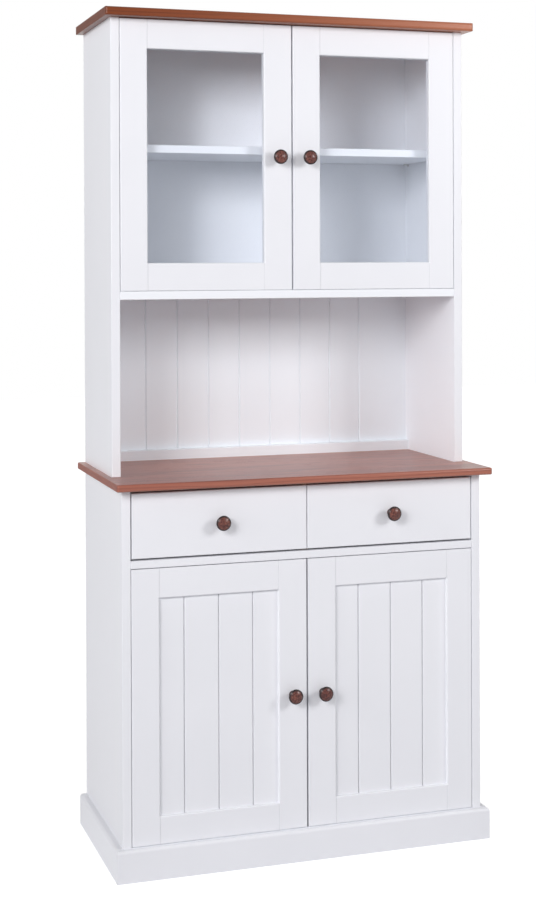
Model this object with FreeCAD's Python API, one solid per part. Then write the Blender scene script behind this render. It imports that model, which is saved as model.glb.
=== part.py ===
import FreeCAD
import Part
import math
import os

# Buffet cabinet: a glazed hutch on a base with two drawers and two panelled doors.
# Millimetres. +Z is up, the front faces -Y and the origin is on the floor under the middle.

# Case
overall_height = 1887.0
case_width = 844.0
side_thickness = 20.0
upper_depth = 290.0
lower_depth = 381.0
back_thickness = 5.0
back_inset = 2.0
case_edge_radius = 1.5

# Top board and worktop
top_thickness = 19.0
top_front_overhang = 31.0
worktop_height = 856.0
worktop_thickness = 16.0
worktop_front_overhang = 34.0
board_side_overhang = 17.0
top_edge_radius = 1.5
worktop_edge_radius = 3.0
board_corner_radius = 5.0

# Plinth and bottom board
plinth_height = 70.0
plinth_thickness = 16.0
plinth_edge_radius = 7.0
bottom_thickness = 18.0

# Niche, hutch floor and drawer deck
niche_height = 390.2
niche_rail_height = 24.0
niche_rail_thickness = 16.0
upper_floor_thickness = 18.8
drawer_bay_height = 153.6
deck_thickness = 17.0
partition_thickness = 18.0

# Grooved boarding
groove_pitch = 78.4
groove_width = 5.0
groove_depth = 2.8
niche_groove_count = 8
door_groove_count = 3

# Door frames
door_thickness = 18.0
hinge_gap = 1.2
meeting_gap = 4.0
door_gap = 1.6
door_under_gap = 0.8
hinge_stile_width = 62.0
meeting_stile_width = 65.5
top_rail_width = 64.9
upper_bottom_rail_width = 61.5
lower_bottom_rail_width = 59.7
door_edge_radius = 1.0
hinge_edge_radius = 2.0
opening_edge_radius = 3.0
tenon_thickness = 6.0
tenon_length = 22.0
tenon_shoulder = 12.0
tenon_clearance = 0.2

# Glass and its beads
glass_lip = 8.0
glass_thickness = 4.0
glass_rebate = 8.0
glass_clearance = 0.5

# Panels of the lower doors
panel_recess = 8.0
panel_thickness = 6.0
panel_tongue = 9.0
panel_edge_gap = 0.8
panel_clearance = 0.3

# Drawers
drawer_gap = 2.5
drawer_top_gap = 8.0
drawer_under_gap = 4.3
drawer_meeting_gap = 2.0
drawer_front_thickness = 18.0
drawer_edge_radius = 1.5
drawer_side_thickness = 12.0
drawer_side_height = 120.0
drawer_side_lift = 3.0
drawer_side_gap = 4.0
drawer_side_tongue = 8.0
drawer_side_clearance = 0.2
drawer_rear_gap = 20.0
drawer_bottom_thickness = 4.0
drawer_bottom_lift = 8.0
drawer_bottom_tongue = 5.0
drawer_bottom_clearance = 0.3
runner_height = 14.0
runner_groove_depth = 7.0
runner_clearance = 0.3
runner_front_gap = 3.0
runner_rear_gap = 10.0
runner_screw_inset = 50.0
drawer_screw_inset = 20.0

# Shelves and their supports
shelf_thickness = 18.0
shelf_end_gap = 1.0
display_shelf_lift = 309.0
display_shelf_setback = 36.0
lower_shelf_lift = 290.0
lower_shelf_setback = 60.0
support_front_inset = 40.0
support_rear_inset = 18.0
support_peg_radius = 2.5
support_peg_depth = 9.0
support_collar_radius = 4.5
support_collar_thickness = 1.5
support_paddle_length = 10.0
support_paddle_width = 7.0
support_paddle_thickness = 3.0

# Knobs
knob_radius = 16.5
knob_projection = 31.0
knob_foot_radius = 8.5
knob_foot_height = 2.0
knob_neck_radius = 6.6
knob_neck_flare = 3.4
knob_cheek_depth = 6.5
knob_rim_width = 3.0
knob_rim_rounding = 3.5
knob_dome = 2.6
knob_inset = 33.5
knob_screw_grip = 14.0

# Concealed hinges
hinge_inset = 90.0
cup_radius = 17.5
cup_depth = 13.5
cup_wall = 1.2
cup_floor = 0.8
cup_edge_distance = 4.5
flange_radius = 19.5
flange_thickness = 1.2
wing_length = 58.0
wing_width = 14.0
wing_screw_spacing = 48.0
hinge_pin_radius = 1.5
hinge_pin_clearance = 0.05
eye_radius = 2.5
eye_floor_gap = 0.25
lug_thickness = 3.0
lug_gap = 0.4
arm_thickness = 2.5
arm_height = 10.0
arm_angle = 42.5
arm_clearance = 1.2
plate_thickness = 2.0
plate_length = 36.0
plate_height = 18.0
plate_setback = 3.0
plate_screw_inset = 9.0

# Screws, dowels and stops
screw_radius = 1.75
screw_head_radius = 3.0
screw_head_height = 2.0
screw_length = 12.0
sunk_screw_length = 16.0
sunk_screw_cover = 0.5
knob_screw_radius = 2.0
knob_screw_head_radius = 4.5
knob_screw_head_height = 3.0
hole_clearance = 0.3
dowel_radius = 4.0
dowel_grip = 26.0
dowel_skin = 6.0
dowel_inset = 40.0
worktop_dowel_inset = 80.0
plinth_dowel_height = 24.0
plinth_dowel_inset = 60.0
plinth_dowel_spacing = 400.0
nail_radius = 0.8
nail_length = 18.0
nail_head_radius = 2.0
nail_head_height = 0.8
nail_inset = 30.0
nail_spacing = 150.0
nail_edge = 5.0
stop_width = 40.0
stop_depth = 12.0
stop_height = 12.0
stop_inset = 20.0
stop_gap = 0.3

# Places worked out from the sizes above
half_case = case_width / 2
half_bay = half_case - side_thickness
half_boards = half_case + board_side_overhang
total_depth = lower_depth + worktop_front_overhang + back_thickness
rear_face = total_depth / 2
rear_edge = rear_face - back_thickness
lower_front = rear_edge - lower_depth
upper_front = rear_edge - upper_depth
worktop_front = lower_front - worktop_front_overhang
top_front = upper_front - top_front_overhang
worktop_under = worktop_height - worktop_thickness
top_under = overall_height - top_thickness
bottom_under = plinth_height - bottom_thickness
deck_top = worktop_under - drawer_bay_height
deck_under = deck_top - deck_thickness
upper_floor_under = worktop_height + niche_height
upper_floor_top = upper_floor_under + upper_floor_thickness
upper_floor_middle = upper_floor_under + upper_floor_thickness / 2
door_left = hinge_gap - half_bay
door_right = -meeting_gap / 2
upper_door_bottom = upper_floor_top + door_under_gap
upper_door_top = top_under - door_gap
lower_door_bottom = plinth_height + door_under_gap
lower_door_top = deck_under - door_gap
half_partition = partition_thickness / 2
side_middle = -(half_bay + half_case) / 2
bottom_middle = bottom_under + bottom_thickness / 2
deck_middle = deck_under + deck_thickness / 2
pin_setback = cup_edge_distance + cup_radius
pin_depth = door_thickness - cup_depth + cup_floor + eye_floor_gap + eye_radius

nodes = {}


def box(x0, x1, y0, y1, z0, z1):
    """Block between two corners."""
    return Part.makeBox(x1 - x0, y1 - y0, z1 - z0, FreeCAD.Vector(x0, y0, z0))


def rod(start, direction, radius, length):
    """Round bar from a point along a direction."""
    return Part.makeCylinder(radius, length, FreeCAD.Vector(*start), FreeCAD.Vector(*direction))


def joined(first, *others):
    """One solid from solids that touch or overlap."""
    return first.fuse(list(others)).removeSplitter()


def without(solid, *tools):
    """The solid with the tools cut away."""
    for tool in tools:
        solid = solid.cut(tool)
    return solid


def mirrored(shape):
    """The same shape on the other side of the middle."""
    return shape.mirror(FreeCAD.Vector(0, 0, 0), FreeCAD.Vector(1, 0, 0))


def rounded(solid, radius, **planes):
    """Rounds some edges of a face: the first axis names the face, the others which of its edges."""
    face_axis = list(planes)[0]
    edges = []
    for edge in solid.Edges:
        points = [vertex.Point for vertex in edge.Vertexes]
        held = [axis for axis in planes if all(near(getattr(point, axis), planes[axis]) for point in points)]
        if face_axis in held and len(held) > 1:
            edges.append(edge)
    return solid.makeFillet(radius, edges)


def near(value, places):
    """Whether a coordinate is at one of the places."""
    return any(abs(value - place) < 1e-6 for place in places)


def drill(node, hole):
    """Cuts a hole from every solid of a node."""
    nodes[node] = [solid.cut(hole) for solid in nodes[node]]


def v_groove(x, surface, z0, z1):
    """Tool for a V-groove down a face that looks to -Y."""
    left = FreeCAD.Vector(x - groove_width / 2, surface, z0)
    right = FreeCAD.Vector(x + groove_width / 2, surface, z0)
    root = FreeCAD.Vector(x, surface + groove_depth, z0)
    face = Part.Face(Part.makePolygon([left, right, root, left]))
    return face.extrude(FreeCAD.Vector(0, 0, z1 - z0))


def groove_places(middle, count):
    """Places of a row of grooves, even about its middle."""
    return [middle + (i - (count - 1) / 2) * groove_pitch for i in range(count)]


# Plinth: three boards planted round the foot of the case, with rounded upper edges
def make_plinth():
    half_plinth = half_case + plinth_thickness
    front_face = lower_front - plinth_thickness
    front = box(-half_plinth, half_plinth, front_face, lower_front, 0, plinth_height)
    ends = [-half_plinth, half_plinth]
    nodes["plinth_front"] = [rounded(front, plinth_edge_radius, z=[plinth_height], x=ends, y=[front_face])]
    left = box(-half_plinth, -half_case, lower_front, rear_edge, 0, plinth_height)
    left = rounded(left, plinth_edge_radius, x=[-half_plinth], z=[plinth_height])
    add_both("plinth_sides", left)


# Boards of the base and of the hutch
def make_case():
    left = box(-half_case, -half_bay, lower_front, rear_edge, 0, worktop_under)
    left = rounded(left, case_edge_radius, y=[lower_front], x=[-half_case, -half_bay])
    nodes["lower_left_side"] = [left]
    nodes["lower_right_side"] = [mirrored(left)]
    left = box(-half_case, -half_bay, upper_front, rear_edge, worktop_height, top_under)
    left = rounded(left, case_edge_radius, y=[upper_front], x=[-half_case, -half_bay])
    nodes["upper_left_side"] = [left]
    nodes["upper_right_side"] = [mirrored(left)]

    bottom = box(-half_bay, half_bay, lower_front, rear_edge, bottom_under, plinth_height)
    nodes["lower_bottom"] = [bottom]
    deck = box(-half_bay, half_bay, lower_front, rear_edge, deck_under, deck_top)
    nodes["drawer_deck"] = [rounded(deck, case_edge_radius, y=[lower_front], z=[deck_under, deck_top])]
    floor = box(-half_bay, half_bay, upper_front, rear_edge, upper_floor_under, upper_floor_top)
    floor = rounded(floor, case_edge_radius, y=[upper_front], z=[upper_floor_under, upper_floor_top])
    nodes["upper_floor"] = [floor]
    partition_front = lower_front + drawer_front_thickness + runner_front_gap
    partition = box(-half_partition, half_partition, partition_front, rear_edge, deck_top, worktop_under)
    nodes["drawer_partition"] = [partition]

    nodes["worktop"] = [top_slab(worktop_front, worktop_under, worktop_height, worktop_edge_radius)]
    nodes["top_board"] = [top_slab(top_front, top_under, overall_height, top_edge_radius)]

    half_back = half_case - back_inset
    nodes["lower_back"] = [box(-half_back, half_back, rear_edge, rear_face, bottom_under, worktop_under)]
    nodes["display_back"] = [box(-half_back, half_back, rear_edge, rear_face, upper_floor_middle, top_under)]
    niche_back = box(-half_back, half_back, rear_edge, rear_face, worktop_height, upper_floor_middle)
    places = groove_places(0, niche_groove_count)
    grooves = [v_groove(x, rear_edge, worktop_height, upper_floor_middle) for x in places]
    nodes["niche_back"] = [without(niche_back, *grooves)]
    rail_front = rear_edge - niche_rail_thickness
    rail_top = worktop_height + niche_rail_height
    rail = box(-half_bay, half_bay, rail_front, rear_edge, worktop_height, rail_top)
    nodes["niche_rail"] = [rounded(rail, case_edge_radius, y=[rail_front], z=[rail_top])]


def top_slab(front, under, top, edge_radius):
    """Stained board that overhangs the case, with eased front and end edges."""
    slab = box(-half_boards, half_boards, front, rear_face, under, top)
    slab = rounded(slab, board_corner_radius, x=[-half_boards, half_boards], y=[front])
    edges = []
    for edge in slab.Edges:
        level = near(edge.Vertexes[0].Z, [under, top]) and near(edge.Vertexes[0].Z, [edge.Vertexes[-1].Z])
        if level and not near(edge.CenterOfMass.y, [rear_face]):
            edges.append(edge)
    return slab.makeFillet(edge_radius, edges)


# Shelves on pegs with flat paddles
def make_shelves():
    nodes["shelf_supports"] = []
    add_shelf("display_shelf", upper_floor_top + display_shelf_lift, upper_front + display_shelf_setback,
              "upper_left_side", "upper_right_side")
    add_shelf("lower_shelf", plinth_height + lower_shelf_lift, lower_front + lower_shelf_setback,
              "lower_left_side", "lower_right_side")


def add_shelf(name, under, front, left_side, right_side):
    half_shelf = half_bay - shelf_end_gap
    board = box(-half_shelf, half_shelf, front, rear_edge - shelf_end_gap, under, under + shelf_thickness)
    nodes[name] = [rounded(board, case_edge_radius, y=[front], z=[under, under + shelf_thickness])]
    for y in (front + support_front_inset, rear_edge - support_rear_inset):
        z = under - support_paddle_thickness / 2
        support = shelf_support(y, z)
        hole = rod((-half_bay - support_peg_depth - hole_clearance, y, z), (1, 0, 0),
                   support_peg_radius + hole_clearance, support_peg_depth + hole_clearance)
        nodes["shelf_supports"] += [support, mirrored(support)]
        drill(left_side, hole)
        drill(right_side, mirrored(hole))


def shelf_support(y, z):
    """Peg in the left side with a collar, and a flat paddle under the shelf."""
    half_width = support_paddle_width / 2
    half_thickness = support_paddle_thickness / 2
    peg = rod((-half_bay - support_peg_depth, y, z), (1, 0, 0), support_peg_radius, support_peg_depth)
    collar = rod((-half_bay, y, z), (1, 0, 0), support_collar_radius, support_collar_thickness)
    below = box(-half_case, 0, y - support_collar_radius, y + support_collar_radius,
                z - support_collar_radius, z + half_thickness)
    paddle_end = support_collar_thickness + support_paddle_length - half_bay
    paddle = box(-half_bay, paddle_end, y - half_width, y + half_width,
                 z - half_thickness, z + half_thickness)
    return joined(peg, collar.common(below), paddle)


# Doors, made for the left and mirrored to the right
def make_doors():
    add_door_pair("upper", upper_front, upper_door_bottom, upper_door_top, upper_bottom_rail_width)
    add_door_pair("lower", lower_front, lower_door_bottom, lower_door_top, lower_bottom_rail_width)


def add_door_pair(stage, front, bottom, top, bottom_rail_width):
    opening = (door_left + hinge_stile_width, door_right - meeting_stile_width,
               bottom + bottom_rail_width, top - top_rail_width)
    pieces = door_frame(front, bottom, top, opening)
    if stage == "upper":
        seat = glass_seat(front, opening)
        pieces.update(glazing(front, opening))
    else:
        seat = panel_seat(front, opening)
        pieces["panel"] = [door_panel(front, opening)]
    pieces["rails"] = [without(rail, seat) for rail in pieces["rails"]]

    knob_x = door_right - knob_inset
    knob_z = (bottom + top) / 2
    pieces["knob"] = [knob(knob_x, front, knob_z)]
    knob_screw, knob_hole = knob_fixing(knob_x, front, knob_z, door_thickness)
    hardware = [knob_screw]
    holes = [seat, knob_hole]
    for z in (bottom + hinge_inset, top - hinge_inset):
        cup_pieces, cup_holes = hinge_cup(front, z)
        hardware += cup_pieces
        holes += cup_holes
        add_hinge_arm(stage, front, z)
    pieces["hardware"] = hardware
    pieces["stiles"] = [without(stile, *holes) for stile in pieces["stiles"]]

    for piece, solids in pieces.items():
        nodes[f"{stage}_left_door_{piece}"] = solids
        nodes[f"{stage}_right_door_{piece}"] = [mirrored(solid) for solid in solids]


def door_frame(front, bottom, top, opening):
    """Two full-height stiles, and two rails tenoned between them."""
    x0, x1, z0, z1 = opening
    back = front + door_thickness
    hinge_stile = box(door_left, x0, front, back, bottom, top)
    hinge_stile = rounded(hinge_stile, hinge_edge_radius, y=[front], x=[door_left])
    hinge_stile = rounded(hinge_stile, door_edge_radius, y=[front], z=[bottom, top])
    meeting_stile = box(x1, door_right, front, back, bottom, top)
    meeting_stile = rounded(meeting_stile, door_edge_radius, y=[front], x=[door_right], z=[bottom, top])
    bottom_rail = rounded(box(x0, x1, front, back, bottom, z0), door_edge_radius, y=[front], z=[bottom])
    top_rail = rounded(box(x0, x1, front, back, z1, top), door_edge_radius, y=[front], z=[top])

    tenon_front = front + (door_thickness - tenon_thickness) / 2
    tenon_back = tenon_front + tenon_thickness
    mortises = []
    rails = []
    for rail, low, high in ((bottom_rail, bottom, z0), (top_rail, z1, top)):
        low += tenon_shoulder
        high -= tenon_shoulder
        tenon = box(x0 - tenon_length, x1 + tenon_length, tenon_front, tenon_back, low, high)
        grown = tenon_length + tenon_clearance
        mortise = box(x0 - grown, x1 + grown, tenon_front - tenon_clearance, tenon_back + tenon_clearance,
                      low - tenon_clearance, high + tenon_clearance)
        mortises.append(mortise)
        rails.append(joined(rail, tenon))
    edge_tool = opening_edge(front, opening)
    stiles = [without(stile, edge_tool, *mortises) for stile in (hinge_stile, meeting_stile)]
    return {"stiles": stiles, "rails": [without(rail, edge_tool) for rail in rails]}


def opening_edge(front, opening):
    """Tool that rounds the front edge all round a door's opening."""
    x0, x1, z0, z1 = opening
    margin = 2 * opening_edge_radius
    back = front + margin
    ring = box(x0 - margin, x1 + margin, front, back, z0 - margin, z1 + margin)
    ring = ring.cut(box(x0, x1, front, back, z0, z1))
    eased = rounded(ring, opening_edge_radius, y=[front], x=[x0, x1], z=[z0, z1])
    return ring.cut(eased)


def glazing(front, opening):
    """Pane against the lip of a rebate, held by four beads behind it."""
    x0, x1, z0, z1 = opening
    seat = front + glass_lip
    bead_front = seat + glass_thickness
    back = front + door_thickness
    bearing = glass_rebate - glass_clearance
    pane = box(x0 - bearing, x1 + bearing, seat, bead_front, z0 - bearing, z1 + bearing)
    beads = [box(x0 - bearing, x0, bead_front, back, z0 - bearing, z1 + bearing),
             box(x1, x1 + bearing, bead_front, back, z0 - bearing, z1 + bearing),
             box(x0, x1, bead_front, back, z0 - bearing, z0),
             box(x0, x1, bead_front, back, z1, z1 + bearing)]
    return {"glass": [pane], "beads": beads}


def glass_seat(front, opening):
    """Tool for the rebate round a glazed opening."""
    x0, x1, z0, z1 = opening
    return box(x0 - glass_rebate, x1 + glass_rebate, front + glass_lip, front + door_thickness,
               z0 - glass_rebate, z1 + glass_rebate)


def door_panel(front, opening):
    """Board with grooves that floats in the frame."""
    x0, x1, z0, z1 = opening
    reach = panel_tongue - panel_edge_gap
    face = front + panel_recess
    panel = box(x0 - reach, x1 + reach, face, face + panel_thickness, z0 - reach, z1 + reach)
    places = groove_places((x0 + x1) / 2, door_groove_count)
    grooves = [v_groove(x, face, z0 - reach, z1 + reach) for x in places]
    return without(panel, *grooves)


def panel_seat(front, opening):
    """Tool for the groove round a panelled opening."""
    x0, x1, z0, z1 = opening
    face = front + panel_recess
    return box(x0 - panel_tongue, x1 + panel_tongue, face, face + panel_thickness + panel_clearance,
               z0 - panel_tongue, z1 + panel_tongue)


# Turned knobs
def knob(x, face, z):
    """Turned knob on a face that looks to -Y, with a blind hole for its screw."""
    dome_edge = knob_projection - knob_dome
    rim_front = dome_edge - knob_rim_rounding
    rim_back = rim_front - knob_rim_width
    dome_radius = knob_radius - knob_rim_rounding
    sphere = (dome_radius ** 2 + knob_dome ** 2) / (2 * knob_dome)
    half_dome = math.asin(dome_radius / sphere) / 2
    dome_middle = (sphere * math.sin(half_dome), knob_projection - sphere * (1 - math.cos(half_dome)))
    inset = knob_rim_rounding * (1 - math.sqrt(0.5))
    rim_middle = (knob_radius - inset, dome_edge - inset)
    neck_end = (knob_neck_radius + knob_neck_flare, rim_back - knob_cheek_depth)
    neck_middle = (knob_neck_radius, (knob_foot_height + neck_end[1]) / 2)
    outline = [line((0, 0), (knob_foot_radius, 0)),
               line((knob_foot_radius, 0), (knob_foot_radius, knob_foot_height)),
               arc((knob_foot_radius, knob_foot_height), neck_middle, neck_end),
               line(neck_end, (knob_radius, rim_back)),
               line((knob_radius, rim_back), (knob_radius, rim_front)),
               arc((knob_radius, rim_front), rim_middle, (dome_radius, dome_edge)),
               arc((dome_radius, dome_edge), dome_middle, (0, knob_projection)),
               line((0, knob_projection), (0, 0))]
    turned = Part.Face(Part.Wire(outline)).revolve(FreeCAD.Vector(0, 0, 0), FreeCAD.Vector(0, 1, 0), 360)
    turned.translate(FreeCAD.Vector(x, face, z))
    hole_depth = knob_screw_grip + hole_clearance
    hole = rod((x, face - hole_depth, z), (0, 1, 0), knob_screw_radius + hole_clearance, hole_depth)
    return turned.cut(hole)


def turned_point(place):
    """A knob's outline point from its radius and its distance in front of the face."""
    return FreeCAD.Vector(place[0], -place[1], 0)


def line(start, end):
    return Part.makeLine(turned_point(start), turned_point(end))


def arc(start, middle, end):
    return Part.Arc(turned_point(start), turned_point(middle), turned_point(end)).toShape()


def knob_fixing(x, face, z, wall):
    """Screw from behind a wall into its knob, and the tool for the wall's hole."""
    back = face + wall
    shank = rod((x, face - knob_screw_grip, z), (0, 1, 0), knob_screw_radius, knob_screw_grip + wall)
    head = rod((x, back, z), (0, 1, 0), knob_screw_head_radius, knob_screw_head_height)
    hole = rod((x, face, z), (0, 1, 0), knob_screw_radius + hole_clearance, wall)
    return joined(shank, head), hole


# Concealed hinges: a cup let into the door, and a curved arm on the case that reaches into it
def hinge_cup(front, z):
    """Cup with its two screws for the left door, and the tools for the stile's holes."""
    x = door_left + pin_setback
    back = front + door_thickness
    floor = back - cup_depth
    pin_y = front + pin_depth
    wing_face = back + flange_thickness
    cup = rod((x, floor, z), (0, 1, 0), cup_radius, cup_depth)
    flange = rod((x, back, z), (0, 1, 0), flange_radius, flange_thickness)
    half_wing = wing_width / 2
    wing = box(x - half_wing, x + half_wing, back, wing_face, z - wing_length / 2, z + wing_length / 2)
    hollow = rod((x, floor + cup_floor, z), (0, 1, 0), cup_radius - cup_wall, cup_depth + flange_thickness)
    cup = without(joined(cup, flange, wing), hollow)
    lug_start = arm_height / 2 + lug_gap
    lug_end = lug_start + lug_thickness
    lugs = [box(x - eye_radius, x + eye_radius, floor, pin_y + eye_radius, z + low, z + high)
            for low, high in ((lug_start, lug_end), (-lug_end, -lug_start))]
    pin_hole = rod((x, pin_y, z - lug_end), (0, 0, 1), hinge_pin_radius + hinge_pin_clearance, 2 * lug_end)
    cup = without(joined(cup, *lugs), pin_hole)

    pieces = []
    seat = rod((x, floor - hole_clearance, z), (0, 1, 0),
               cup_radius + hole_clearance, cup_depth + hole_clearance)
    holes = [seat]
    for screw_z in (z - wing_screw_spacing / 2, z + wing_screw_spacing / 2):
        screw, hole = wood_screw((x, wing_face, screw_z), (0, -1, 0))
        pieces.append(screw)
        holes.append(hole)
        cup = cup.cut(hole)
    return [cup] + pieces, holes


def wood_screw(seat, direction):
    """Screw whose head rests at seat, and the tool for its hole."""
    back = [-step for step in direction]
    shank = rod(seat, direction, screw_radius, screw_length)
    head = rod(seat, back, screw_head_radius, screw_head_height)
    hole = rod(seat, direction, screw_radius + hole_clearance, screw_length + hole_clearance)
    return joined(shank, head), hole


def sunk_screw(place, direction):
    """Screw whose head lies just under the surface at place, and the tool for its hole."""
    depth = screw_head_height + sunk_screw_cover
    seat = [start + step * depth for start, step in zip(place, direction)]
    back = [-step for step in direction]
    shank = rod(seat, direction, screw_radius, sunk_screw_length)
    head = rod(seat, back, screw_head_radius, screw_head_height)
    bore = rod(seat, direction, screw_radius + hole_clearance, sunk_screw_length + hole_clearance)
    counterbore = rod(seat, back, screw_head_radius + hole_clearance, depth)
    return joined(shank, head), joined(bore, counterbore)


def add_hinge_arm(stage, front, z):
    """Arm, plate, pin and screws of one hinge on the left side, and of its twin on the right."""
    pin_x = door_left + pin_setback
    pin_y = front + pin_depth
    low = z - arm_height / 2
    corner_reach = math.hypot(pin_setback, door_thickness - pin_depth)
    inner_radius = corner_reach + arm_clearance
    middle_radius = inner_radius + arm_thickness / 2
    leg_left = plate_thickness - half_bay
    leg_right = leg_left + arm_thickness
    leg_middle = (leg_left + leg_right) / 2
    end_angle = math.degrees(math.acos((leg_middle - pin_x) / middle_radius))

    eye = rod((pin_x, pin_y, low), (0, 0, 1), eye_radius, arm_height)
    bar = Part.makeBox(middle_radius, arm_thickness, arm_height, FreeCAD.Vector(0, -arm_thickness / 2, 0))
    bar.rotate(FreeCAD.Vector(0, 0, 0), FreeCAD.Vector(0, 0, 1), arm_angle)
    bar.translate(FreeCAD.Vector(pin_x, pin_y, low))
    bend = sector(inner_radius + arm_thickness, end_angle - arm_angle)
    bend = bend.cut(sector(inner_radius, end_angle - arm_angle))
    bend.rotate(FreeCAD.Vector(0, 0, 0), FreeCAD.Vector(0, 0, 1), arm_angle)
    bend.translate(FreeCAD.Vector(pin_x, pin_y, low))
    leg_front = pin_y + middle_radius * math.sin(math.radians(end_angle)) - arm_thickness / 2
    plate_front = leg_front + plate_setback
    plate_back = plate_front + plate_length
    leg = box(leg_left, leg_right, leg_front, plate_back, low, low + arm_height)
    pin_hole = rod((pin_x, pin_y, low), (0, 0, 1), hinge_pin_radius + hinge_pin_clearance, arm_height)
    arm = without(joined(eye, bar, bend, leg), pin_hole)
    half_plate = plate_height / 2
    plate = box(-half_bay, leg_left, plate_front, plate_back, z - half_plate, z + half_plate)

    half_pin = arm_height / 2 + lug_gap + lug_thickness
    pin = rod((pin_x, pin_y, z - half_pin), (0, 0, 1), hinge_pin_radius, 2 * half_pin)
    for screw_y in (plate_front + plate_screw_inset, plate_back - plate_screw_inset):
        screw, hole = wood_screw((leg_right, screw_y, z), (-1, 0, 0))
        arm = arm.cut(hole)
        plate = plate.cut(hole)
        add_both("case_screws", screw)
        drill(f"{stage}_left_side", hole)
        drill(f"{stage}_right_side", mirrored(hole))
    add_both("hinge_arms", arm)
    add_both("hinge_arms", plate)
    add_both("hinge_pins", pin)


def sector(radius, angle):
    """Slice of a disc as thick as a hinge arm, from the X axis round to an angle."""
    return Part.makeCylinder(radius, arm_height, FreeCAD.Vector(0, 0, 0), FreeCAD.Vector(0, 0, 1), angle)


def add_both(node, solid):
    """Adds a solid and its twin on the other side to a node."""
    nodes.setdefault(node, [])
    nodes[node] += [solid, mirrored(solid)]


# Drawers, made for the left and mirrored to the right
def make_drawers():
    front_left = drawer_gap - half_bay
    front_right = -drawer_meeting_gap / 2
    front_bottom = deck_top + drawer_under_gap
    front_top = worktop_under - drawer_top_gap
    front_back = lower_front + drawer_front_thickness
    front = box(front_left, front_right, lower_front, front_back, front_bottom, front_top)
    front = rounded(front, drawer_edge_radius, y=[lower_front], x=[front_left, front_right],
                    z=[front_bottom, front_top])

    side_bottom = front_bottom + drawer_side_lift
    side_top = side_bottom + drawer_side_height
    box_left = drawer_side_gap - half_bay
    box_right = -half_partition - drawer_side_gap
    box_back = rear_edge - drawer_rear_gap
    inner_left = box_left + drawer_side_thickness
    inner_right = box_right - drawer_side_thickness
    tongue_front = front_back - drawer_side_tongue
    left_side = box(box_left, inner_left, tongue_front, box_back, side_bottom, side_top)
    right_side = box(inner_right, box_right, tongue_front, box_back, side_bottom, side_top)
    housings = [box(left - drawer_side_clearance, right + drawer_side_clearance,
                    tongue_front - drawer_side_clearance, front_back,
                    side_bottom - drawer_side_clearance, side_top + drawer_side_clearance)
                for left, right in ((box_left, inner_left), (inner_right, box_right))]

    floor_under = side_bottom + drawer_bottom_lift
    floor_top = floor_under + drawer_bottom_thickness
    reach = drawer_bottom_tongue - drawer_bottom_clearance
    floor = box(inner_left - reach, inner_right + reach, front_back - reach, box_back,
                floor_under, floor_top)
    floor_groove = box(inner_left - drawer_bottom_tongue, inner_right + drawer_bottom_tongue,
                       front_back - drawer_bottom_tongue, box_back,
                       floor_under, floor_top + drawer_bottom_clearance)
    back = box(inner_left, inner_right, box_back - drawer_side_thickness, box_back, floor_top, side_top)

    runner_middle = (side_bottom + side_top) / 2
    runner_bottom = runner_middle - runner_height / 2
    runner_top = runner_middle + runner_height / 2
    runner_reach = drawer_side_gap + runner_groove_depth - runner_clearance
    groove_low = runner_bottom - runner_clearance
    groove_high = runner_top + runner_clearance
    left_groove = box(box_left, box_left + runner_groove_depth, front_back, box_back,
                      groove_low, groove_high)
    right_groove = box(box_right - runner_groove_depth, box_right, front_back, box_back,
                       groove_low, groove_high)
    runner_front = front_back + runner_front_gap
    runner_back = rear_edge - runner_rear_gap
    side_runner = box(-half_bay, runner_reach - half_bay, runner_front, runner_back,
                      runner_bottom, runner_top)
    middle_runner = box(-half_partition - runner_reach, -half_partition, runner_front, runner_back,
                        runner_bottom, runner_top)
    screw_places = (runner_front + runner_screw_inset, runner_back - runner_screw_inset)
    for y in screw_places:
        screw, hole = sunk_screw((runner_reach - half_bay, y, runner_middle), (-1, 0, 0))
        side_runner = side_runner.cut(hole)
        add_both("case_screws", screw)
        drill("lower_left_side", hole)
        drill("lower_right_side", mirrored(hole))
        screw, hole = sunk_screw((-half_partition - runner_reach, y, runner_middle), (1, 0, 0))
        middle_runner = middle_runner.cut(hole)
        add_both("case_screws", screw)
        drill("drawer_partition", hole)
        drill("drawer_partition", mirrored(hole))
    add_both("drawer_runners", side_runner)
    add_both("drawer_runners", middle_runner)

    knob_x = (front_left + front_right) / 2
    knob_z = (front_bottom + front_top) / 2
    knob_screw, knob_hole = knob_fixing(knob_x, lower_front, knob_z, drawer_front_thickness)
    left_side = without(left_side, floor_groove, left_groove)
    right_side = without(right_side, floor_groove, right_groove)
    fixings = [knob_screw]
    back_middle = box_back - drawer_side_thickness / 2
    for z in (floor_top + drawer_screw_inset, side_top - drawer_screw_inset):
        left_screw, left_hole = sunk_screw((box_left, back_middle, z), (1, 0, 0))
        right_screw, right_hole = sunk_screw((box_right, back_middle, z), (-1, 0, 0))
        fixings += [left_screw, right_screw]
        left_side = left_side.cut(left_hole)
        right_side = right_side.cut(right_hole)
        back = without(back, left_hole, right_hole)
    pieces = {"front": [without(front, floor_groove, knob_hole, *housings)],
              "sides": [left_side, right_side],
              "back": [back],
              "bottom": [floor],
              "knob": [knob(knob_x, lower_front, knob_z)],
              "fixings": fixings}
    for piece, solids in pieces.items():
        nodes[f"left_drawer_{piece}"] = solids
        nodes[f"right_drawer_{piece}"] = [mirrored(solid) for solid in solids]


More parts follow.
